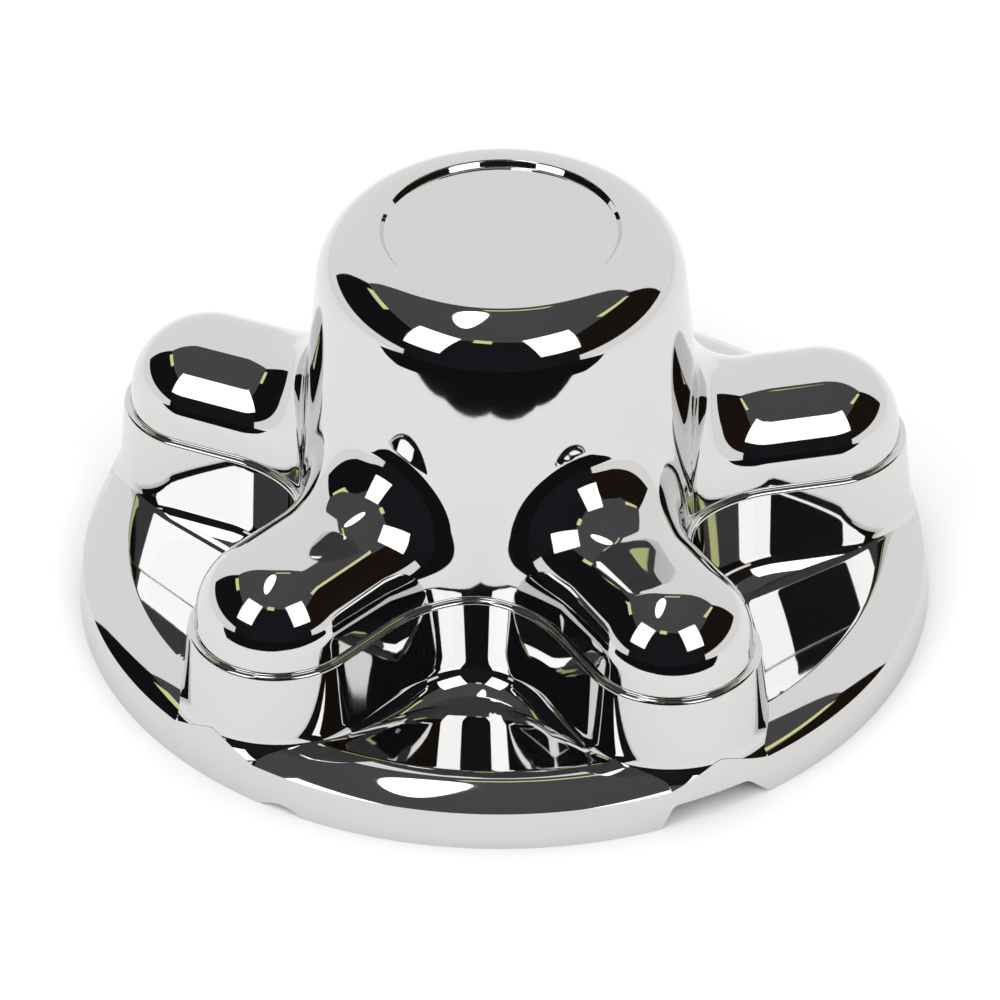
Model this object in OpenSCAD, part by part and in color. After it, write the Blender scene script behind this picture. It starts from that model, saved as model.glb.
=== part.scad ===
// Trailer hub cover: one moulded shell with a tall hub cap in the middle, five lug pods
// around it, dished pockets between the pods and a skirt that ends in the rim.
// Millimetres. +Z runs out along the hub axis, the origin is the centre of the rim's lower edge.

/* [Rim and skirt] */
// radius of the rim at its lower edge
rim_r = 76; // [75.5:0.1:77]
// slope of the skirt wall away from the axis direction, degrees
skirt_slope = 8; // [7.4:0.1:9]
// thickness of the moulded wall
wall = 2.5; // [2:0.1:3]
// height of the sharp edge between the skirt and the outer facet
edge_z = 6.8; // [6:0.1:7.6]

/* [Pockets between the pods] */
// height of the pocket floor
floor_z = 6; // [5.4:0.1:6.6]
// radius at which the pocket floor starts to rise towards the ridge
dish_r = 48; // [45:0.5:51]
// slope of the outer facet below the ridge, degrees
facet_slope = 22.6; // [19:0.2:26]
// width of the outer facet, measured level
facet_w = 6.3; // [5.4:0.1:7.4]
// rounding of the ridge
ridge_r = 4; // [3.4:0.1:4.8]
// plan radius of the pocket's end at the hub
pocket_r = 15.5; // [13.5:0.25:17]
// hollow fillet at the foot of the pocket walls
foot_r = 5.5; // [4.5:0.1:6]
// how far the foot fillet's lowest line lies under the pocket floor
foot_sink = 0.1; // [0.05:0.01:0.2]

/* [Lug pods, lower tier] */
// radius of the centre of each pod's rounded end
pod_end_r = 57.6; // [57.3:0.1:58]
// half width of the lower tier at the step
pod_half_w = 15.65; // [15.3:0.05:16]
// height of the step that runs round the whole outline
step_z = 23.3; // [22:0.1:25]
// width of the step
step_in = 1.1; // [0.8:0.1:1.5]
// draft of the pod and hub walls, degrees
draft = 5.5; // [5:0.1:6]

/* [Lug pods, upper tier] */
// height of the pod tops
pod_h = 38; // [36.5:0.25:40]
// rounding of the pod tops
pod_round_r = 12.5; // [11.5:0.1:13]
// how far the bend from a pod's top up to the hub runs into the hub wall
bend_in = 0.4; // [0.2:0.1:0.8]

/* [Hub] */
// height of the hub's top
hub_h = 76; // [73:0.5:79]
// how far the hub's wall lies inside the rounded pocket ends
hub_in = 0.5; // [0.4:0.05:0.8]
// rounding between the hub's wall and its top
hub_round_r = 10.9; // [9:0.1:12]
// radius of the recess in the hub's top
recess_r = 20.6; // [18:0.1:20.8]
// depth of the recess
recess_d = 1.1; // [0.6:0.1:1.6]
// how far the recess wall leans in at the bottom
recess_lean = 0.5; // [0.2:0.1:1]
// height at which the web between a pod and the hub runs out
web_h = 46; // [43:0.5:49]
// hollow radius of that web's top
web_r = 26; // [24:0.5:28]
// how deep the webs' rounded ends cut into the pod walls where they meet them
web_bite = 0.15; // [0.1:0.01:0.25]
// how far the web's top runs into the hub wall
web_in = 0.3; // [0.2:0.05:0.5]

/* [Lug nut sockets] */
// radius of the circle that the lug nuts stand on
lug_circle_r = 57.15; // [56.9:0.05:57.4]
// radius of each socket's bore, which grips the corners of a lug nut
socket_bore_r = 11.95; // [11.6:0.05:12.2]
// radius of the socket's outside, which runs into the pod walls higher up
socket_r = 14.2; // [13.9:0.05:14.25]
// height of the socket's mouth
socket_z = 5; // [4.2:0.1:6]
// length of the socket
socket_len = 14; // [12:0.25:15]

/* [Notches in the rim] */
// direction of the large notch, degrees
notch_az = -54.9; // [-58:0.5:-50]
// width of the large notch at its top
notch_w = 16; // [12:0.5:20]
// how far each side of the large notch flares at the rim's edge
notch_flare = 2.8; // [1.5:0.1:4]
// height of the large notch
notch_h = 4; // [3:0.1:4.6]
// rounding of the large notch's upper corners
notch_corner_r = 1.4; // [0.8:0.1:1.8]
// direction of the small dip, degrees
dip_az = -114; // [-118:0.5:-110]
// radius of the small dip
dip_r = 7.8; // [6:0.1:10]
// height of the small dip
dip_h = 1.3; // [0.8:0.1:1.8]

/* [Hidden] */
$fn = 96;
pods = 5;
pitch = 360 / pods;
half = pitch / 2;
first_pod = 90;
tn = tan(draft);
cs = cos(draft);
sn = sin(draft);
eps = 0.5;
// how far a corner that belongs on a rounding is tucked inside its circle
tuck = 0.01;
// how deep the rounded pocket ends cut into the pod walls of the lower tier
bite = 0.15;
// how far the lower tier's middle and the pods' arms run into each other
seam = 0.2;

// centre of a pocket's rounded end, from the hub axis and from a pod's centre line
apex_r = (pod_half_w + pocket_r) / sin(half);
apex_x = apex_r * cos(half);
apex_y = pod_half_w + pocket_r;

// half width of the lower tier's middle at its ends, inside the rounded pocket ends
core_w = apex_y - foot_r * 0.7;
// distance of those ends from the hub axis
core_x = apex_x + seam;
// radius that the webs' collar reaches out to, inside the pods
collar_r = sqrt(apex_x * apex_x + (pod_half_w - step_in) * (pod_half_w - step_in));

// lower tier: wall line and foot fillet
function low_x(z) = pod_half_w + (step_z - z) * tn;
foot_zc = floor_z - foot_sink + foot_r;
foot_xc = low_x(foot_zc) + foot_r / cs;

// upper tier: wall line and rounded top
function up_x(z) = pod_half_w - step_in - (z - step_z) * tn;
pod_zc = pod_h - pod_round_r;
pod_xc = up_x(pod_zc + pod_round_r * sn) - pod_round_r * cs;

// hub: wall line and rounded top
hub_step_r = apex_r - pocket_r - step_in - hub_in;
function hub_x(z) = hub_step_r - (z - step_z) * tn;
hub_zc = hub_h - hub_round_r;
hub_xc = hub_x(hub_zc + hub_round_r * sn) - hub_round_r * cs;

// bend from a pod's top up to the hub, it starts in line with the pocket's rounded end
bend_r = (apex_x - hub_step_r + (pod_h - step_z) * tn + bend_in) / (1 - tn);
bend_z = pod_h + bend_r;

// hollow top of the web between a pod and the hub
web_xc = hub_x(web_h) + web_r * cs - web_in;
web_zc = web_h + web_r * sn;

// base: skirt, facet, ridge and rising floor
st = tan(skirt_slope);
function skirt_x(z) = rim_r - z * st;
edge_r = skirt_x(edge_z);
facet_x = edge_r - facet_w;
facet_z = edge_z + facet_w * tan(facet_slope);
ridge_xc = facet_x - ridge_r * sin(facet_slope);
ridge_zc = facet_z - ridge_r * cos(facet_slope);
rise_a = ridge_xc - dish_r;
rise_b = ridge_zc - floor_z;
rise_r = (rise_a * rise_a + rise_b * rise_b - ridge_r * ridge_r) / (2 * (ridge_r + rise_b));
rise_sin = rise_a / (rise_r + ridge_r);
rise_cos = (rise_r - rise_b) / (rise_r + ridge_r);
// shift of the sharp edge for each millimetre that a surface lies inside the outer one
edge_det = -cos(facet_slope + skirt_slope);
edge_dx = (cos(facet_slope) - sin(skirt_slope)) / edge_det;
edge_dz = (cos(skirt_slope) - sin(facet_slope)) / edge_det;
// how far the facet runs on past the sharp edge before the skirt trims it
out_w = 3;
// height up to which the skirt trims the pods' feet
trim_z = foot_zc - foot_r * sn + 0.03;

hub_cover();

// half section of the base, t inside the outer surface and down to the height z0
module base_section(t, z0) {
  rt = ridge_r - t - tuck;
  difference() {
    union() {
      polygon([
        [0, z0],
        [edge_r + out_w, z0],
        [edge_r + out_w + t * edge_dx, edge_z - out_w * tan(facet_slope) + t * edge_dz],
        [ridge_xc + rt * sin(facet_slope), ridge_zc + rt * cos(facet_slope)],
        [ridge_xc, ridge_zc],
        [ridge_xc - rt * rise_sin, ridge_zc + rt * rise_cos],
        [dish_r, floor_z + rise_r],
        [dish_r, floor_z - t],
        [0, floor_z - t]
      ]);
      translate([ridge_xc, ridge_zc])
        circle(r = ridge_r - t);
    }
    translate([dish_r, floor_z + rise_r])
      circle(r = rise_r + t + tuck);
  }
}

// half section of the lower tier with its foot, from a pod's centre line outwards
module low_section(t) {
  difference() {
    polygon([
      [0, foot_zc - foot_r - t - eps],
      [foot_xc, foot_zc - foot_r - t - eps],
      [foot_xc, foot_zc],
      [foot_xc - (foot_r + t - tuck) * cs, foot_zc - (foot_r + t - tuck) * sn],
      [low_x(step_z - t) - t / cs, step_z - t],
      [0, step_z - t]
    ]);
    translate([foot_xc, foot_zc])
      circle(r = foot_r + t);
  }
}

// half section of the rounded end of a pocket, from its own centre outwards
module pocket_section(t) {
  z0 = foot_zc - foot_r - t - 2 * eps;
  z1 = step_z - t + eps;
  u = apex_y + bite;
  intersection() {
    union() {
      polygon([
        [0, z0],
        [u - foot_xc, z0],
        [u - foot_xc, foot_zc],
        [u - foot_xc + (foot_r + t - tuck) * cs, foot_zc - (foot_r + t - tuck) * sn],
        [u - low_x(z1) + t / cs, z1],
        [0, z1]
      ]);
      translate([u - foot_xc, foot_zc])
        circle(r = foot_r + t);
    }
    translate([0, z0])
      square([u, z1 - z0]);
  }
}

// skirt that trims the feet, open above the height where the pod walls are clear of it
module trim_section(t) {
  polygon([
    [0, -1],
    [skirt_x(-1) - t / cos(skirt_slope), -1],
    [skirt_x(trim_z) - t / cos(skirt_slope), trim_z],
    [rim_r + 10, trim_z],
    [rim_r + 10, step_z + 1],
    [0, step_z + 1]
  ]);
}

// full section across the upper tier of a pod
module pod_section(t) {
  z0 = step_z - t - 2 * eps;
  x0 = up_x(z0) - t / cs;
  xt = pod_xc + (pod_round_r - t - tuck) * cs;
  zt = pod_zc + (pod_round_r - t - tuck) * sn;
  intersection() {
    union() {
      polygon([
        [-x0, z0],
        [x0, z0],
        [xt, zt],
        [pod_xc, pod_zc],
        [pod_xc, pod_h - t],
        [-pod_xc, pod_h - t],
        [-pod_xc, pod_zc],
        [-xt, zt]
      ]);
      for (s = [-1, 1])
        translate([s * pod_xc, pod_zc])
          circle(r = pod_round_r - t);
    }
    translate([-2 * pod_half_w, z0])
      square([4 * pod_half_w, pod_h]);
  }
}

// half section of the hub
module hub_section(t) {
  z0 = step_z - t - 2 * eps;
  union() {
    polygon([
      [0, z0],
      [hub_x(z0) - t / cs, z0],
      [hub_xc + (hub_round_r - t - tuck) * cs, hub_zc + (hub_round_r - t - tuck) * sn],
      [hub_xc, hub_zc],
      [hub_xc, hub_h - t],
      [0, hub_h - t]
    ]);
    translate([hub_xc, hub_zc])
      circle(r = hub_round_r - t);
  }
}

// half section under the hollow top of the webs
module web_section(t) {
  z0 = step_z - t - 2 * eps;
  difference() {
    polygon([
      [0, z0],
      [collar_r, z0],
      [collar_r, web_h],
      [0, web_h]
    ]);
    translate([web_xc, web_zc])
      circle(r = web_r + t);
  }
}

// one straight arm of the lower tier with its round end and its foot
module arm(t) {
  translate([apex_x - seam, 0, 0])
    rotate([90, 0, 90])
      linear_extrude(pod_end_r - apex_x + seam) {
        low_section(t);
        mirror([1, 0])
          low_section(t);
      }
  translate([pod_end_r, 0, 0])
    rotate(-90)
      rotate_extrude(angle = 180)
        low_section(t);
}

// middle of the lower tier, with the rounded pocket ends cut in
module low_core(t) {
  z0 = foot_zc - foot_r - t - eps;
  difference() {
    translate([0, 0, z0])
      linear_extrude(step_z - t - z0)
        polygon([
          for (k = [0 : pods - 1], s = [-1, 1])
            [
              core_x * cos(first_pod + k * pitch) - s * core_w * sin(first_pod + k * pitch),
              core_x * sin(first_pod + k * pitch) + s * core_w * cos(first_pod + k * pitch)
            ]
        ]);
    for (k = [0 : pods - 1])
      rotate(first_pod + k * pitch)
        translate([apex_x, apex_y, 0])
          rotate_extrude()
            pocket_section(t);
  }
}

// straight stretch of a pod's upper tier
module pod_straight(t) {
  translate([apex_x, 0, 0])
    rotate([90, 0, 90])
      linear_extrude(pod_end_r - apex_x)
        pod_section(t);
}

// round end of a pod's upper tier
module pod_end(t) {
  z0 = step_z - t - 2 * eps;
  translate([pod_end_r, 0, 0])
    rotate(-90)
      rotate_extrude(angle = 180)
        intersection() {
          pod_section(t);
          translate([0, z0])
            square([pod_half_w, pod_h]);
        }
}

// bend of a pod's rounded top up into the hub
module pod_bend(t) {
  translate([apex_x, 0, bend_z])
    rotate([90, 90, 180])
      rotate_extrude(angle = 90)
        translate([bend_z, 0])
          rotate(90)
            pod_section(t);
}

// webs between the pods and the hub: a hollow collar with the rounded pocket ends cut in
module webs(t) {
  z0 = step_z - t - 2 * eps;
  r0 = pocket_r + step_in + web_bite + t / cs;
  difference() {
    rotate_extrude()
      web_section(t);
    for (k = [0 : pods - 1])
      rotate(first_pod + k * pitch)
        translate([apex_x, apex_y, z0 - eps])
          cylinder(
            r1 = r0 + (z0 - eps - step_z) * tn,
            r2 = r0 + (web_h + eps - step_z) * tn,
            h = web_h - z0 + 2 * eps
          );
  }
}

// lower tier: its middle with the first n arms
module low_tier(t, n) {
  if (n == 0)
    low_core(t);
  else {
    low_tier(t, n - 1);
    rotate(first_pod + n * pitch)
      arm(t);
  }
}

// one of the three stretches of a pod's upper tier
module pod_piece(i, t) {
  if (i == 0)
    pod_straight(t);
  if (i == 1)
    pod_end(t);
  if (i == 2)
    pod_bend(t);
}

// base, lower tier and hub with the first n stretches of all the pods' upper tiers
module stack(t, z0, n) {
  if (n == 0) {
    intersection() {
      union() {
        rotate_extrude()
          base_section(t, z0);
        low_tier(t, pods);
      }
      rotate_extrude()
        trim_section(t);
    }
    rotate_extrude()
      hub_section(t);
  } else {
    stack(t, z0, n - 1);
    rotate(first_pod)
      pod_piece(n - 1, t);
    rotate(first_pod + pitch)
      pod_piece(n - 1, t);
    rotate(first_pod + 2 * pitch)
      pod_piece(n - 1, t);
    rotate(first_pod + 3 * pitch)
      pod_piece(n - 1, t);
    rotate(first_pod + 4 * pitch)
      pod_piece(n - 1, t);
  }
}

// everything inside the surface that lies t under the outer one
module body(t, z0) {
  stack(t, z0, 3);
  webs(t);
}

// hollow, with the sockets and the hub's recessed top left standing in it
module hollow() {
  difference() {
    body(wall, -1);
    for (k = [0 : pods - 1])
      rotate(first_pod + k * pitch)
        translate([lug_circle_r, 0, socket_z])
          cylinder(r = socket_r, h = socket_len);
    translate([0, 0, hub_h - recess_d - wall])
      cylinder(r = recess_r, h = recess_d + wall);
  }
}

// large notch: a flared slot with rounded upper corners, cut through the skirt
module notch() {
  a = notch_w / 2;
  c = notch_corner_r;
  rotate([0, 0, notch_az])
    translate([rim_r - 3 * wall, 0, 0])
      rotate([90, 0, 90])
        linear_extrude(6 * wall) {
          polygon([
            [-a - notch_flare * 1.25, -notch_h / 4],
            [a + notch_flare * 1.25, -notch_h / 4],
            [a, notch_h - c],
            [a - c, notch_h],
            [-a + c, notch_h],
            [-a, notch_h - c]
          ]);
        }
}

// small dip: a shallow scallop across the rim's edge
module dip() {
  rotate([0, 0, dip_az])
    translate([rim_r - 3 * wall, 0, dip_h - dip_r])
      rotate([0, 90, 0])
        cylinder(r = dip_r, h = 6 * wall);
}

module hub_cover() {
  color([0.8, 0.81, 0.83])
    difference() {
      body(0, 0);
      hollow();
      for (k = [0 : pods - 1])
        rotate(first_pod + k * pitch)
          translate([lug_circle_r, 0, socket_z - 1])
            cylinder(r = socket_bore_r, h = socket_len + 2);
      translate([0, 0, hub_h - recess_d])
        cylinder(r1 = recess_r - recess_lean, r2 = recess_r + recess_lean, h = 2 * recess_d);
      notch();
      dip();
    }
}
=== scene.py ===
from math import atan2, cos, hypot, pi, radians, sin, tan

import bpy
import numpy as np
from mathutils import Matrix, Vector


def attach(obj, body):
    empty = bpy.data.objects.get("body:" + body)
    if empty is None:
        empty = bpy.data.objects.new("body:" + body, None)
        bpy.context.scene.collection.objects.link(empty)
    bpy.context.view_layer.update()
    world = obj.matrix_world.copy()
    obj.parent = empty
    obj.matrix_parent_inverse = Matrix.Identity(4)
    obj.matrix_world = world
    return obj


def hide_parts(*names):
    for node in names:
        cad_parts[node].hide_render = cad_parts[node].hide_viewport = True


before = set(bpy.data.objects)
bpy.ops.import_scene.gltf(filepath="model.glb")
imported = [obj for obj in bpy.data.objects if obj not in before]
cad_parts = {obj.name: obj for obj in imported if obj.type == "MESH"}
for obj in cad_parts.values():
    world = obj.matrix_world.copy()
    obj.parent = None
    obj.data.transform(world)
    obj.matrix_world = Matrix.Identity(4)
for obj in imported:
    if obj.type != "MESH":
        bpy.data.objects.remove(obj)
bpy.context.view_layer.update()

# Camera.
# It looks down at the front valley from a little right of centre, with a long lens,
# and it is rolled by half a degree as the photograph is.
cam_azimuth, cam_elevation, cam_roll = radians(6.5), radians(36.87), radians(0.54)
cam_target, cam_distance = Vector((-0.000575, -0.000066, 0.0173)), 1.2
cam_back = Vector((
    sin(cam_azimuth) * cos(cam_elevation),
    -cos(cam_azimuth) * cos(cam_elevation),
    sin(cam_elevation),
))
camera = bpy.data.objects.new("camera", bpy.data.cameras.new("camera"))
bpy.context.scene.collection.objects.link(camera)
camera.data.lens = 243.0
camera.data.sensor_width = 36.0
camera.data.clip_start = 0.05
camera.data.clip_end = 40.0
camera.matrix_world = (
    Matrix.Translation(cam_target + cam_back * cam_distance)
    @ cam_back.to_track_quat("Z", "Y").to_matrix().to_4x4()
    @ Matrix.Rotation(-cam_roll, 4, "Z")
)
bpy.context.scene.camera = camera
bpy.context.scene.view_settings.view_transform = "Standard"

# Lug pods in plan, in millimetres, with the first pod along +X: the five hollow arms that
# cover the wheel's nuts. Each has a round end, and a rounded pocket end joins it to the next.
# The columns of the shell's grid start from this outline, closer on the pod by the notch.
draft = radians(5.5)
dc, ds, dt = cos(draft), sin(draft), tan(draft)
step_z, step_in = 23.3, 1.1
pod_w, pod_h, pod_round, pod_end = 14.55, 38.0, 12.5, 57.6
pitch = radians(72)
pocket_w = 16.6
apex_x, apex_y = (pod_w + pocket_w) / tan(pitch / 2), pod_w + pocket_w
end_len, arm_len = pod_w * pi / 2, pod_end - apex_x
half_len = end_len + arm_len + pocket_w * (pi / 2 - pitch / 2)


def outline(s):
    on_end = s / pod_w
    on_bend = (s - end_len - arm_len) / pocket_w
    end = np.stack([pod_end + pod_w * np.cos(on_end), pod_w * np.sin(on_end)])
    arm = np.stack([pod_end - (s - end_len), np.full_like(s, pod_w)])
    bend = np.stack([apex_x - pocket_w * np.sin(on_bend), apex_y - pocket_w * np.cos(on_bend)])
    return np.where(s < end_len, end, np.where(s < end_len + arm_len, arm, bend))


pods, fine_pod, half_columns = 5, 4, 47
fine_len, fine_columns, coarse_columns = 17, 34, 29
azimuths = []
for pod in range(pods):
    for side in (-1, 1):
        s = np.linspace(0, half_len, half_columns, endpoint=False)
        if pod == fine_pod:
            s = np.concatenate([
                np.linspace(0, fine_len, fine_columns, endpoint=False),
                np.linspace(fine_len, half_len, coarse_columns, endpoint=False),
            ])
        x, y = outline(s)
        a = np.arctan2(y, x)
        if side < 0:
            a = -np.append(a[1:], pitch / 2)[::-1]
        azimuths.append(a + pod * pitch)
azimuths = np.concatenate(azimuths)
columns = len(azimuths)
col_c, col_s = np.cos(azimuths), np.sin(azimuths)

# Hub and the pods' upper tier, drafted so that the moulding comes out of its tool.
# One distance field: the hub's cone, the five pods with their rounded tops, and a rolling
# fillet between them that is wider on the walls than on the pod tops.
hub_r, hub_h, hub_round = 36.4, 76.0, 10.9
hub_zc = hub_h - hub_round
hub_xc = hub_r - (hub_zc + hub_round * ds - step_z) * dt - hub_round * dc
pod_zc = pod_h - pod_round
pod_xc = pod_w - (pod_zc + pod_round * ds - step_z) * dt - pod_round * dc
fillet_wall, fillet_top, fillet_rise = 16.3, 14.0, 12.7
facing_low, facing_high, tiny = -0.9, 0.95, 1e-9


def upper_field(x, y, z):
    r = np.hypot(x, y)
    hub = (r - hub_r) * dc + (z - step_z) * ds
    hub_n = np.stack([dc * x / r, dc * y / r, np.full_like(z, ds)])
    turn = np.round(np.arctan2(y, x) / pitch) * pitch
    c, s = np.cos(turn), np.sin(turn)
    px, py = x * c + y * s, -x * s + y * c
    past_end = np.maximum(px - pod_end, 0)
    off = np.maximum(np.hypot(past_end, py), tiny)
    off_x, off_y = past_end / off, py / off
    wall = (off - pod_w) * dc + (z - step_z) * ds
    ox, oz = off - pod_xc, z - pod_zc
    reach = np.maximum(np.hypot(ox, oz), tiny)
    on_top = off < pod_xc
    on_wall = (oz < ox * dt) & ~on_top
    top = np.where(on_top, np.maximum(z - pod_h, wall), reach - pod_round)
    pod = np.where(on_wall, wall, top)
    n_out = np.where(on_wall, dc, np.where(on_top, 0, ox / reach))
    n_up = np.where(on_wall, ds, np.where(on_top, 1, oz / reach))
    pod_n = np.stack([
        n_out * (off_x * c - off_y * s), n_out * (off_x * s + off_y * c), n_up,
    ])
    facing = np.clip((hub_n * pod_n).sum(0), facing_low, facing_high)
    t = np.clip((z - step_z) / fillet_rise, 0, 1)
    ball = fillet_wall + (fillet_top - fillet_wall) * t * t * (3 - 2 * t)
    u, v = ball - hub, ball - pod
    inside = (u - facing * v > 0) & (v - facing * u > 0)
    apart = np.maximum(u * u + v * v - 2 * u * v * facing, 0) / (1 - facing**2)
    return np.where(inside, ball - np.sqrt(apart), np.minimum(hub, pod))


def slope(f, x, y, z, h=2e-3):
    g = np.stack([
        f(x + h, y, z) - f(x - h, y, z),
        f(x, y + h, z) - f(x, y - h, z),
        f(x, y, z + h) - f(x, y, z - h),
    ])
    return g / np.linalg.norm(g, axis=0)


# Each column walks down that field from the hub's wall to the step.
# Its rows are then spread by length, closer where the path bends, and set on the field once
# more, the last of them without leaving its height.
walk_top, pace, most_steps = 60.0, 0.25, 420
bend_weight, bend_spread = 4.0, 9


def walk_down(t, z_end, rows):
    h = 1e-3

    def f(r, z):
        return upper_field(r * col_c, r * col_s, z) + t

    def slopes(r, z):
        return (f(r + h, z) - f(r - h, z)) / (2 * h), (f(r, z + h) - f(r, z - h)) / (2 * h)

    z = np.full_like(azimuths, walk_top)
    r = hub_r - (z - step_z) * dt - t / dc
    path = [np.stack([r, z])]
    done = np.zeros(columns, bool)
    while not done.all() and len(path) < most_steps:
        gr, gz = slopes(r, z)
        n = np.hypot(gr, gz)
        r2, z2 = r + gz / n * pace, z - gr / n * pace
        for _ in range(2):
            gr, gz = slopes(r2, z2)
            pull = f(r2, z2) / (gr * gr + gz * gz)
            r2, z2 = r2 - pull * gr, z2 - pull * gz
        over = (z2 < z_end) & ~done
        share = np.where(over, (z - z_end) / np.maximum(z - z2, tiny), 1)
        r2, z2 = r + (r2 - r) * share, z + (z2 - z) * share
        r, z = np.where(done, r, r2), np.where(done, z, z2)
        done |= over
        path.append(np.stack([r, z]))
    path = np.stack(path)
    R, Z = np.empty((2, rows, columns))
    for i in range(columns):
        out_step, up_step = np.diff(path[:, :, i], axis=0).T
        weight = np.hypot(out_step, up_step)
        moving = weight > 1e-6
        heading = np.unwrap(np.arctan2(up_step[moving], out_step[moving]))
        even = np.ones(bend_spread) / bend_spread
        bend = np.convolve(np.abs(np.gradient(heading)), even, "same")
        weight[moving] += bend_weight * bend
        along = np.concatenate([[0], np.cumsum(weight)])
        u = np.linspace(0, along[-1], rows)
        R[:, i] = np.interp(u, along, path[:, 0, i])
        Z[:, i] = np.interp(u, along, path[:, 1, i])
    for _ in range(3):
        gr, gz = slopes(R, Z)
        last = np.zeros_like(R)
        last[-1] = 1
        miss = f(R, Z)
        both = gr * gr + gz * gz
        R = R - miss * gr / np.where(last > 0, gr * gr, both)
        Z = Z - np.where(last > 0, 0, miss * gz / both)
    return R, Z


# Top of the hub, turned about the axis.
# The outside has a shallow recess with a leaning wall, rounded above and below; rows hold
# radius, height and normal from the axis outwards.
recess_h, axis_r = 1.1, 0.02


def hub_top(t):
    rows = []
    if t == 0:
        low, lean = hub_h - recess_h, radians(35)
        ring, hollow, edge = 20.45, 0.45, 0.5
        for r in (axis_r, 6, 12, 17, 19.2):
            rows.append((r, low, 0, 1))
        for a in np.linspace(0, pi / 2 - lean, 5):
            r, z = ring - hollow + hollow * sin(a), low + hollow * (1 - cos(a))
            rows.append((r, z, -sin(a), cos(a)))
        r0, z0 = rows[-1][:2]
        edge_z = hub_h - edge
        centre = r0 + (edge_z + edge * sin(lean) - z0) * tan(lean) + edge * cos(lean)
        for a in np.linspace(pi / 2 - lean, 0, 5):
            rows.append((centre - edge * sin(a), edge_z + edge * cos(a), -sin(a), cos(a)))
        rows.append((max(hub_xc, centre + 0.1), hub_h, 0, 1))
    else:
        for r in (axis_r, 10, 19):
            rows.append((r, hub_h - t - recess_h, 0, 1))
    for a in np.linspace(0, pi / 2 - draft, 19 if t == 0 else 8)[1:]:
        r, z = hub_xc + (hub_round - t) * sin(a), hub_zc + (hub_round - t) * cos(a)
        rows.append((r, z, sin(a), cos(a)))
    return rows


# Lower tier: section from the step down to the foot.
# Its hollow corner, flat, rounded edge, wall and foot fillet are measured out from the line
# where the upper wall would meet the step, each with height and normal.
step_corner, step_edge = 0.35, 0.7
foot_round, foot_run, floor_z, wall_low = 5.5, 3, 6.0, 12.4
foot_zc = floor_z + foot_round


def tier_section(t):
    rows = []
    corner, edge = step_corner, step_edge
    if t == 0:
        zc = step_z + corner
        out = -corner * dt + corner / dc
        for a in np.linspace(draft, pi / 2, 6):
            rows.append((out - corner * cos(a), zc - corner * sin(a), cos(a), sin(a)))
        zc = step_z - edge
        out = step_in + (edge - edge * ds) * dt - edge * dc
        start = rows[-1][0]
        for share in (0.5, 1):
            rows.append((start + (out - start) * share, step_z, 0, 1))
        for a in np.linspace(pi / 2, draft, 8)[1:]:
            rows.append((out + edge * cos(a), zc + edge * sin(a), cos(a), sin(a)))
    else:
        zc = step_z - t
        rows.append((-t / dc, zc, 0, 1))
        rows.append((step_in + t * dt - t / dc, zc, 0, 1))
        rows.append((step_in + t * dt - t / dc, zc, dc, ds))
    for z in np.linspace(rows[-1][1], wall_low, 7)[1:]:
        rows.append((step_in + (step_z - z) * dt - t / dc, z, dc, ds))
    fixed = len(rows)
    for z in np.linspace(wall_low, foot_zc - (foot_round + t) * ds, 8)[1:]:
        rows.append((step_in + (step_z - z) * dt - t / dc, z, dc, ds))
    foot = step_in + (step_z - foot_zc) * dt + foot_round / dc
    for a in np.linspace(draft, pi / 2, 40)[1:]:
        out, z = foot - (foot_round + t) * cos(a), foot_zc - (foot_round + t) * sin(a)
        rows.append((out, z, cos(a), sin(a)))
    rows.append((rows[-1][0] + foot_run, rows[-1][1], 0, 1))
    return np.array(rows).T, fixed


# Base between the pods, turned about the axis.
# Its level floor bends up into an even cone, which ends in a rounded ridge, and a facet
# falls from there to the sharp edge over the skirt. Outside, the facet is slightly crowned.
rim_r, skirt_slope, sharp_z = 76.0, radians(8), 6.8
dish_r, bowl, ridge_round = 44.0, 12.0, 4.0
facet_slope, facet_w, facet_crown = radians(22.6), 6.3, radians(19)
floor_start, floor_rows, bowl_rows, cone_rows = 25, 10, 10, 23
ridge_rows, facet_rows = 16, 8


def skirt_r(z, t):
    return rim_r - z * tan(skirt_slope) - t / cos(skirt_slope)


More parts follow.
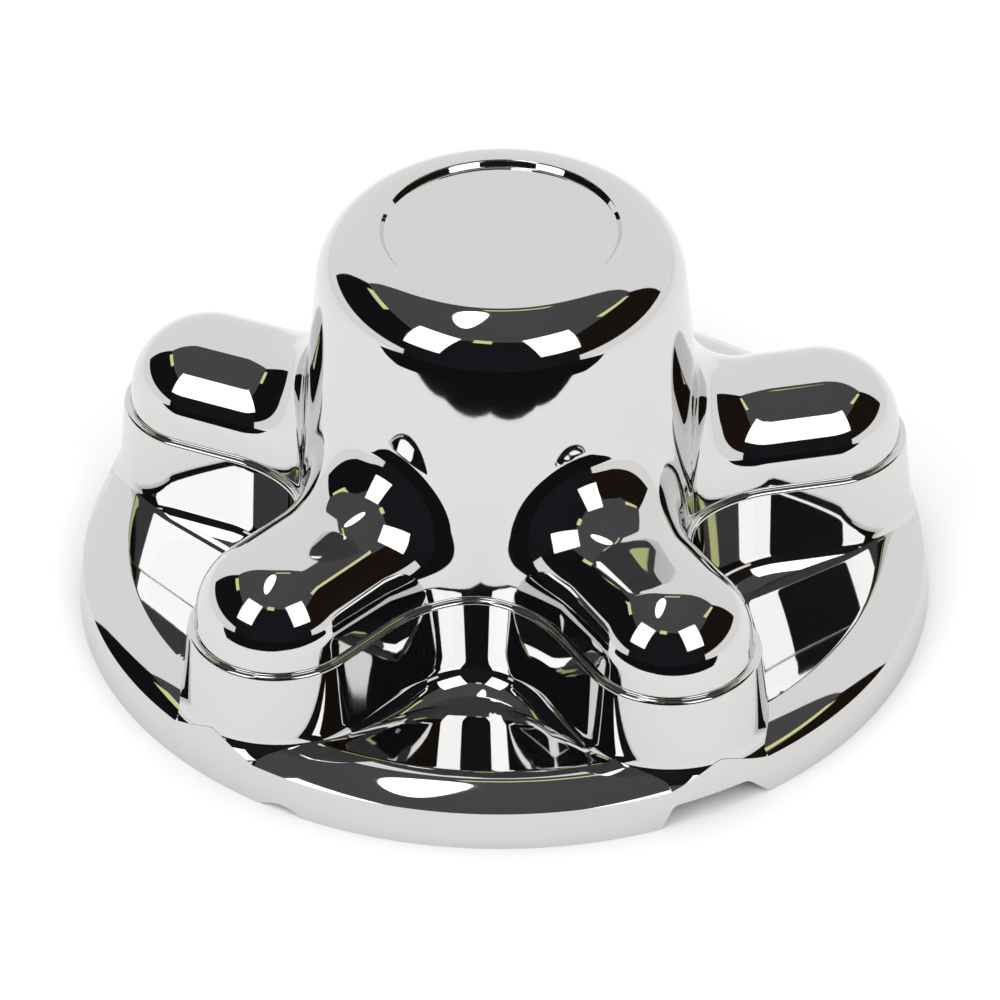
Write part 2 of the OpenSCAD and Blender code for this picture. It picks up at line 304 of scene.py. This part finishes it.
def base_section(t):
    edge_r = skirt_r(sharp_z, 0)
    det = -cos(facet_slope + skirt_slope)
    end_r = edge_r + t * (cos(facet_slope) - sin(skirt_slope)) / det
    end_z = sharp_z + t * (cos(skirt_slope) - sin(facet_slope)) / det
    rc = edge_r - facet_w - ridge_round * sin(facet_slope)
    zc = sharp_z + facet_w * tan(facet_slope) - ridge_round * cos(facet_slope)
    turn = 0.0
    for _ in range(20):
        rise = zc + ridge_round * cos(turn) - floor_z - bowl * (1 - cos(turn))
        turn = atan2(rise, rc - dish_r - (ridge_round + bowl) * sin(turn))
    starts = np.linspace(floor_start, dish_r, floor_rows, endpoint=False)
    rows = [(r, floor_z - t, 0, 1) for r in starts]
    for a in np.linspace(0, turn, bowl_rows):
        r, z = dish_r + (bowl + t) * sin(a), floor_z + bowl - (bowl + t) * cos(a)
        rows.append((r, z, -sin(a), cos(a)))
    low, across = rows[-1][:2], ridge_round - t
    high = rc - across * sin(turn), zc + across * cos(turn)
    for share in np.linspace(0, 1, cone_rows + 1, endpoint=False)[1:]:
        r, z = (l + (h - l) * share for l, h in zip(low, high))
        rows.append((r, z, -sin(turn), cos(turn)))
    crown = facet_crown if t == 0 else 0
    for a in np.linspace(-turn, facet_slope - crown, ridge_rows):
        rows.append((rc + across * sin(a), zc + across * cos(a), sin(a), cos(a)))
    r0, z0 = rows[-1][:2]
    width = hypot(end_r - r0, end_z - z0)
    for share in np.linspace(0, 1, facet_rows + 1)[1:]:
        lean = facet_slope + crown * (2 * share - 1)
        rise = width * tan(crown) * share * (1 - share)
        r = r0 + (end_r - r0) * share + rise * sin(facet_slope)
        z = z0 + (end_z - z0) * share + rise * cos(facet_slope)
        rows.append((r, z, sin(lean), cos(lean)))
    return np.array(rows).T


# Lower edge of the rim, by azimuth on the finished cover.
# It is level but for the large notch at the front right, whose flanks lean, and the small
# dip at the front left.
notch_at, notch_half, notch_h, notch_reach = radians(-55.0), 10.8, 4.0, 13
left_flank, right_flank, notch_soft = 2.7, 4.2, 0.35
dip_at, dip_half, dip_h = radians(-114.1), radians(3.2), 1.3


def rim_low(azimuth):
    azimuth = (azimuth + pi) % (2 * pi) - pi
    u, soft = rim_r * (azimuth - notch_at), notch_soft
    left, right = (u + notch_half) * notch_h / left_flank, (notch_half - u) * notch_h / right_flank
    arch = -np.logaddexp(np.logaddexp(-left / soft, -right / soft), -notch_h / soft) * soft
    notch = np.clip(np.where(np.abs(u) < notch_reach, arch, 0), 0, None)
    dip = dip_h * (1 - ((azimuth - dip_at) / dip_half) ** 2)
    return np.maximum(notch, np.clip(dip, 0, None))


# The whole surface that lies t inside the outer one, as rows of columns.
# Rows run from the axis over the hub, down the pods, over the step and the foot, along the
# base and down the skirt. Each row keeps one normal for the faces above it and one below.
first_pod = radians(18)
foot_steps, skirt_top = 1500, 11.1
run_weight, turn_weight = 0.55, 10


def surface(t, rows_up, rows_wall, rows_dish, rows_ridge, rows_skirt):
    out = []

    def turned(r, z, nr, nz):
        n = np.stack([nr * col_c, nr * col_s, np.full(columns, nz)])
        out.append([np.stack([r * col_c, r * col_s, np.full(columns, z)]), n, n])

    for row in hub_top(t):
        turned(*row)

    def field(x, y, z):
        return upper_field(x, y, z) + t

    z_end = step_z + step_corner - step_corner * ds if t == 0 else step_z - t
    R, Z = walk_down(t, z_end, rows_up)
    for r, z in zip(R, Z):
        p = np.stack([r * col_c, r * col_s, z])
        n = slope(field, *p)
        out.append([p, n, n])
    plan = n[:2] / np.linalg.norm(n[:2], axis=0)
    ref = p[:2] - plan * (-(z_end - step_z) * dt - t / dc)
    section, fixed = tier_section(t)
    if t:
        out[-1][2] = np.stack([0 * col_c, 0 * col_c, 0 * col_c + 1])
    for j in range(1, fixed):
        d, z, nd, nz = section[:, j]
        p = np.concatenate([ref + plan * d, np.full((1, columns), z)])
        n = np.concatenate([plan * nd, np.full((1, columns), nz)])
        if t and j == 2:
            out[-1][2] = n
            continue
        out.append([p, n, n])

    # Down the foot fillet until it meets the base or the skirt.
    base = base_section(t)
    end_r, end_z = base[0, -1], base[1, -1]
    at = np.arange(section.shape[1])
    fine = np.linspace(fixed - 1, at[-1] - 0.001, foot_steps)
    d_fine, z_fine = np.interp(fine, at, section[0]), np.interp(fine, at, section[1])
    stop, on_base = np.empty(columns), np.zeros(columns, bool)
    for i in range(columns):
        r = np.hypot(ref[0, i] + plan[0, i] * d_fine, ref[1, i] + plan[1, i] * d_fine)
        past_skirt = np.where(z_fine < skirt_top, r - skirt_r(z_fine, t), -1)
        below = np.where(r < end_r + 0.5, np.interp(r, base[0], base[1]) - z_fine, -1)
        past = np.maximum(past_skirt, below)
        k = int(np.argmax(past > 0)) or len(fine) - 1
        gain = past[k] - past[k - 1]
        share = -past[k - 1] / gain if gain else 0
        stop[i] = fine[k - 1] + (fine[k] - fine[k - 1]) * share
        on_base[i] = below[k] > past_skirt[k]
    for j in range(1, rows_wall + 1):
        q = fixed - 1 + (stop - (fixed - 1)) * j / rows_wall
        d, z, nd, nz = (np.interp(q, at, row) for row in section)
        size = np.hypot(nd, nz)
        p = np.concatenate([ref + plan * d, z[None]])
        n = np.concatenate([plan * nd / size, (nz / size)[None]])
        out.append([p, n, n])

    # Along the base to the sharp edge, then down the skirt to the rim. The rows over the
    # ridge and the facet lie at the same radius in all columns that start inside them.
    r0, z0 = np.hypot(p[0], p[1]), p[2]
    azimuth = np.arctan2(p[1], p[0])
    c, s = np.cos(azimuth), np.sin(azimuth)
    skirt_n = np.stack([cos(skirt_slope) * c, cos(skirt_slope) * s, 0 * c + sin(skirt_slope)])
    run = np.hypot(np.diff(base[0]), np.diff(base[1]))
    bend = np.abs(np.diff(np.arctan2(base[2], base[3])))
    along = np.concatenate([[0], np.cumsum(run * run_weight + bend * turn_weight)])
    start = np.interp(r0, base[0], along)
    ridge_at = along[floor_rows + bowl_rows + cone_rows]
    even = start + (along[-1] - start) * rows_dish / (rows_dish + rows_ridge)
    split = np.maximum(ridge_at, even)
    for j in range(rows_dish + rows_ridge + 1):
        w = start + (split - start) * min(j / rows_dish, 1)
        share = max((j - rows_dish) / rows_ridge, 0)
        w = w + (along[-1] - w) * share
        rb, zb, nr, nz = (np.interp(w, along, row) for row in base)
        size = np.hypot(nr, nz)
        zk = z0 + (end_z - z0) * share
        r, z = np.where(on_base, rb, skirt_r(zk, t)), np.where(on_base, zb, zk)
        n = np.where(on_base, np.stack([nr * c, nr * s, nz]) / size, skirt_n)
        if j == 0:
            out[-1][2] = n
        else:
            out.append([np.stack([r * c, r * s, z]), n, n])
    out[-1][2] = skirt_n
    low = rim_low(azimuth + first_pod)
    for j in range(1, rows_skirt + 1):
        z = end_z + (low - end_z) * j / rows_skirt
        r = skirt_r(z, t)
        out.append([np.stack([r * c, r * s, z]), skirt_n, skirt_n])
    return out


# Shell: one plastic moulding with a wall of 2.5 mm, chromed outside and dull inside.
# The outside, the inside and the flat underside of the rim are one mesh, with its normals
# set corner by corner so that reflections run smoothly.
wall_t = 2.5
mm = 0.001


def grid(rows, first, inward):
    count = len(rows)
    P = np.stack([row[0] for row in rows]).transpose(0, 2, 1)
    above = np.stack([row[1] for row in rows]).transpose(0, 2, 1)
    below = np.stack([row[2] for row in rows]).transpose(0, 2, 1)
    j, i = np.meshgrid(np.arange(count - 1), np.arange(columns), indexing="ij")
    i2 = (i + 1) % columns
    here, after = j * columns, (j + 1) * columns
    quads = np.stack([here + i, after + i, after + i2, here + i2], -1)
    normals = np.stack([below[j, i], above[j + 1, i], above[j + 1, i2], below[j, i2]], -2)
    if inward:
        quads, normals = quads[..., ::-1], -normals[..., ::-1, :]
    return P.reshape(-1, 3), quads.reshape(-1, 4) + first, normals.reshape(-1, 3)


# The plating has a faint waviness from the mould, a very fine grain, and slight smudges that
# only change how sharp the reflection is.
def plating(name, colour, rough_low, rough_high, wave):
    material = bpy.data.materials.new(name)
    material.use_nodes = True
    nodes, links = material.node_tree.nodes, material.node_tree.links
    shader = nodes["Principled BSDF"]
    shader.inputs["Metallic"].default_value = 1.0
    shader.inputs["Base Color"].default_value = (*colour, 1)
    coords = nodes.new("ShaderNodeTexCoord")
    smudge = nodes.new("ShaderNodeTexNoise")
    smudge.inputs["Scale"].default_value = 28.0
    smudge.inputs["Detail"].default_value = 5.0
    smudge.inputs["Roughness"].default_value = 0.6
    span = nodes.new("ShaderNodeMapRange")
    span.inputs["From Min"].default_value = 0.35
    span.inputs["From Max"].default_value = 0.72
    span.inputs["To Min"].default_value = rough_low
    span.inputs["To Max"].default_value = rough_high
    waves = nodes.new("ShaderNodeTexNoise")
    waves.inputs["Scale"].default_value = 42.0
    waves.inputs["Detail"].default_value = 1.0
    grain = nodes.new("ShaderNodeTexNoise")
    grain.inputs["Scale"].default_value = 900.0
    grain.inputs["Detail"].default_value = 2.0
    wave_bump = nodes.new("ShaderNodeBump")
    wave_bump.inputs["Distance"].default_value = wave
    wave_bump.inputs["Strength"].default_value = 0.5
    grain_bump = nodes.new("ShaderNodeBump")
    grain_bump.inputs["Distance"].default_value = 0.0000012
    grain_bump.inputs["Strength"].default_value = 0.5
    for texture in (smudge, waves, grain):
        links.new(coords.outputs["Object"], texture.inputs["Vector"])
    links.new(smudge.outputs["Fac"], span.inputs["Value"])
    links.new(span.outputs["Result"], shader.inputs["Roughness"])
    links.new(waves.outputs["Fac"], wave_bump.inputs["Height"])
    links.new(grain.outputs["Fac"], grain_bump.inputs["Height"])
    links.new(wave_bump.outputs["Normal"], grain_bump.inputs["Normal"])
    links.new(grain_bump.outputs["Normal"], shader.inputs["Normal"])
    return material


outer = surface(0, rows_up=54, rows_wall=12, rows_dish=4, rows_ridge=17, rows_skirt=5)
inner = surface(wall_t, rows_up=15, rows_wall=6, rows_dish=3, rows_ridge=6, rows_skirt=2)
out_p, out_q, out_n = grid(outer, 0, False)
in_p, in_q, in_n = grid(inner, len(out_p), True)
points = np.concatenate([out_p, in_p])
i = np.arange(columns)
i2 = (i + 1) % columns
o_last, i_last = len(out_p) - columns, len(points) - columns
rim_q = np.stack([o_last + i, i_last + i, i_last + i2, o_last + i2], -1)
corners = points[rim_q[:, :3]]
rim_n = np.cross(corners[:, 1] - corners[:, 0], corners[:, 2] - corners[:, 1])
rim_n /= np.linalg.norm(rim_n, axis=1, keepdims=True)
quads = np.concatenate([out_q, in_q, rim_q])
normals = np.concatenate([out_n, in_n, np.repeat(rim_n, 4, axis=0)])
turn = np.array(Matrix.Rotation(first_pod, 3, "Z"))
points = points @ turn.T * mm
normals = normals @ turn.T
caps = [list(range(columns)), [len(out_p) + k for k in range(columns)][::-1]]
cap_normals = np.repeat([(0.0, 0.0, 1.0), (0.0, 0.0, -1.0)], columns, axis=0)
shell_mesh = bpy.data.meshes.new("shell")
shell_mesh.from_pydata(points.tolist(), [], quads.tolist() + caps)
shell_mesh.shade_smooth()
inside = np.zeros(len(shell_mesh.polygons), np.int32)
inside[len(out_q):len(out_q) + len(in_q)] = 1
inside[-1] = 1
shell_mesh.polygons.foreach_set("material_index", inside)
shell_mesh.normals_split_custom_set(np.concatenate([normals, cap_normals]).tolist())
chrome = plating("chrome_plating", (0.645, 0.645, 0.64), 0.02, 0.05, 0.00001)
dull = plating("inside_plating", (0.52, 0.53, 0.55), 0.22, 0.34, 0.00004)
for material in (chrome, dull):
    shell_mesh.materials.append(material)
shell = bpy.data.objects.new("shell", shell_mesh)
bpy.context.scene.collection.objects.link(shell)
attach(shell, "root")
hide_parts("hub_cover")

# Lug nut sockets: five plain tubes of the same moulding inside the pods, each open below.
# They run into the pod walls, and slip over the wheel's nuts to hold the cover on.
bolt_r, around = 57.15, 64
socket_r, bore_r, socket_low, socket_high = 14.2, 11.95, 5.0, 19.0
section = (
    (socket_r, socket_low), (socket_r, socket_high), (bore_r, socket_high), (bore_r, socket_low),
)
ring_p, ring_q = [], []
for pod in range(pods):
    angle = first_pod + pod * pitch
    centre = np.array((bolt_r * cos(angle), bolt_r * sin(angle)))
    start = len(ring_p)
    for r, z in section:
        for k in range(around):
            a = 2 * pi * k / around
            ring_p.append((*((centre + (r * cos(a), r * sin(a))) * mm), z * mm))
    for side in range(4):
        for k in range(around):
            a, b = start + side * around, start + (side + 1) % 4 * around
            k2 = (k + 1) % around
            ring_q.append((a + k, a + k2, b + k2, b + k))
socket_mesh = bpy.data.meshes.new("sockets")
socket_mesh.from_pydata(ring_p, [], ring_q)
socket_mesh.shade_smooth()
socket_mesh.set_sharp_from_angle(angle=radians(40))
socket_mesh.materials.append(dull)
sockets = bpy.data.objects.new("sockets", socket_mesh)
bpy.context.scene.collection.objects.link(sockets)
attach(sockets, "root")
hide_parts("hub_cover")

# Floor: a plain pale sheet of paper that the cover stands on.
# It runs on past the picture on all sides and takes the cover's shadow.
floor_mesh = bpy.data.meshes.new("floor")
far = 6.0
floor_mesh.from_pydata(
    [(-far, -far, 0), (far, -far, 0), (far, far, 0), (-far, far, 0)], [], [(0, 1, 2, 3)]
)
floor = bpy.data.objects.new("floor", floor_mesh)
bpy.context.scene.collection.objects.link(floor)
paper = bpy.data.materials.new("floor_paper")
paper.use_nodes = True
shader = paper.node_tree.nodes["Principled BSDF"]
shader.inputs["Base Color"].default_value = (0.935, 0.93, 0.92, 1)
shader.inputs["Roughness"].default_value = 0.9
floor_mesh.materials.append(paper)

# Light: a white room that the camera and the chrome both see.
# Two tall windows stand in front, left and right of the camera, and a soft box hangs nearly
# overhead. Together they are level enough that a colour shows about as it is.
world = bpy.data.worlds.new("room")
world.use_nodes = True
bpy.context.scene.world = world
background = world.node_tree.nodes["Background"]
background.inputs["Color"].default_value = (1, 1, 1, 1)


def toward(bearing, height, distance):
    """a place in the room, bearing counted from the front to the right"""
    a, e = radians(bearing), radians(height)
    return Vector((sin(a) * cos(e), -cos(a) * cos(e), sin(e))) * distance


def panel(name, shape, centre, size, power, colour):
    light = bpy.data.objects.new(name, bpy.data.lights.new(name, "AREA"))
    bpy.context.scene.collection.objects.link(light)
    light.data.shape, light.data.energy, light.data.color = shape, power, colour
    light.data.size, light.data.size_y = size
    light.location = centre
    light.rotation_euler = centre.to_track_quat("Z", "Y").to_euler()


daylight, cool = (1.0, 1.0, 1.0), (0.93, 0.97, 1.0)
panel("window_left", "RECTANGLE", toward(-43, 37, 2.0), (0.82, 1.15), 6.5, daylight)
panel("window_right", "RECTANGLE", toward(42, 38, 2.0), (0.86, 1.2), 6.8, daylight)
panel("overhead_box", "ELLIPSE", toward(-100, 80, 1.6), (1.0, 0.26), 1.7, cool)

# Dark cloth round the set, which only the chrome sees.
# There is a ceiling, a front behind the camera, two sides that stop short of the table, and
# the table's own dark front, whose near edge is an arc round the cover.
def cloth(name, corners, colour, glow=0.0):
    mesh = bpy.data.meshes.new(name)
    mesh.from_pydata([tuple(corner) for corner in corners], [], [tuple(range(len(corners)))])
    card = bpy.data.objects.new(name, mesh)
    bpy.context.scene.collection.objects.link(card)
    card.visible_camera = False
    card.visible_diffuse = False
    card.visible_shadow = False
    stuff = bpy.data.materials.new(name)
    stuff.use_nodes = True
    shader = stuff.node_tree.nodes["Principled BSDF"]
    shader.inputs["Base Color"].default_value = (*colour, 1)
    shader.inputs["Roughness"].default_value = 1.0
    shader.inputs["Specular IOR Level"].default_value = 0.0
    shader.inputs["Emission Color"].default_value = (*colour, 1)
    shader.inputs["Emission Strength"].default_value = glow
    mesh.materials.append(stuff)


side_x, front, back_edge, ceiling, hem = 2.4, -1.9, 1.35, 2.45, 0.42
wide = 5
cloth(
    "ceiling_cloth",
    [
        (-wide, front, ceiling), (wide, front, ceiling),
        (wide, back_edge, ceiling), (-wide, back_edge, ceiling),
    ],
    (0.085, 0.085, 0.09),
)
for name, x, colour in (
    ("left_cloth", -side_x, (0.008, 0.008, 0.010)),
    ("right_cloth", side_x, (0.014, 0.009, 0.007)),
):
    cloth(
        name,
        [(x, front, hem), (x, back_edge, hem), (x, back_edge, ceiling), (x, front, ceiling)],
        colour,
    )
cloth(
    "front_cloth",
    [
        (-side_x, front, 0.0), (side_x, front, 0.0),
        (side_x, front, ceiling), (-side_x, front, ceiling),
    ],
    (0.012, 0.012, 0.015),
)
table_z, table_left, table_right = 0.0006, -2.45, 2.35
half_edge = ((0, 0.160), (24, 0.161), (40, 0.165), (52, 0.175), (60, 0.27), (66, 0.6))
near_edge = [(-a, r) for a, r in half_edge[:0:-1]] + list(half_edge)
cloth(
    "table_front",
    [(table_left, front, table_z)]
    + [(*toward(a, 0, r).xy, table_z) for a, r in near_edge]
    + [(table_right, front, table_z)],
    (0.006, 0.006, 0.007),
)

# Four greenish tubes under the ceiling: left, right, in front and behind.
# The chrome shows them as thin streaks.
tube_colour, tube_glow, tube_away = (0.50, 0.52, 0.24), 0.7, 1.9
for name, places in (
    ("tube_left", ((-112, 40), (-112, 44), (-88, 46), (-88, 42))),
    ("tube_right", ((88, 47), (88, 51), (114, 44), (114, 41))),
    ("tube_middle", ((-15, 49), (-15, 54), (-1, 54), (-1, 49))),
    ("tube_back", ((-166, 66), (-166, 68), (164, 67), (164, 65))),
):
    cloth(name, [toward(a, e, tube_away) for a, e in places], tube_colour, tube_glow)
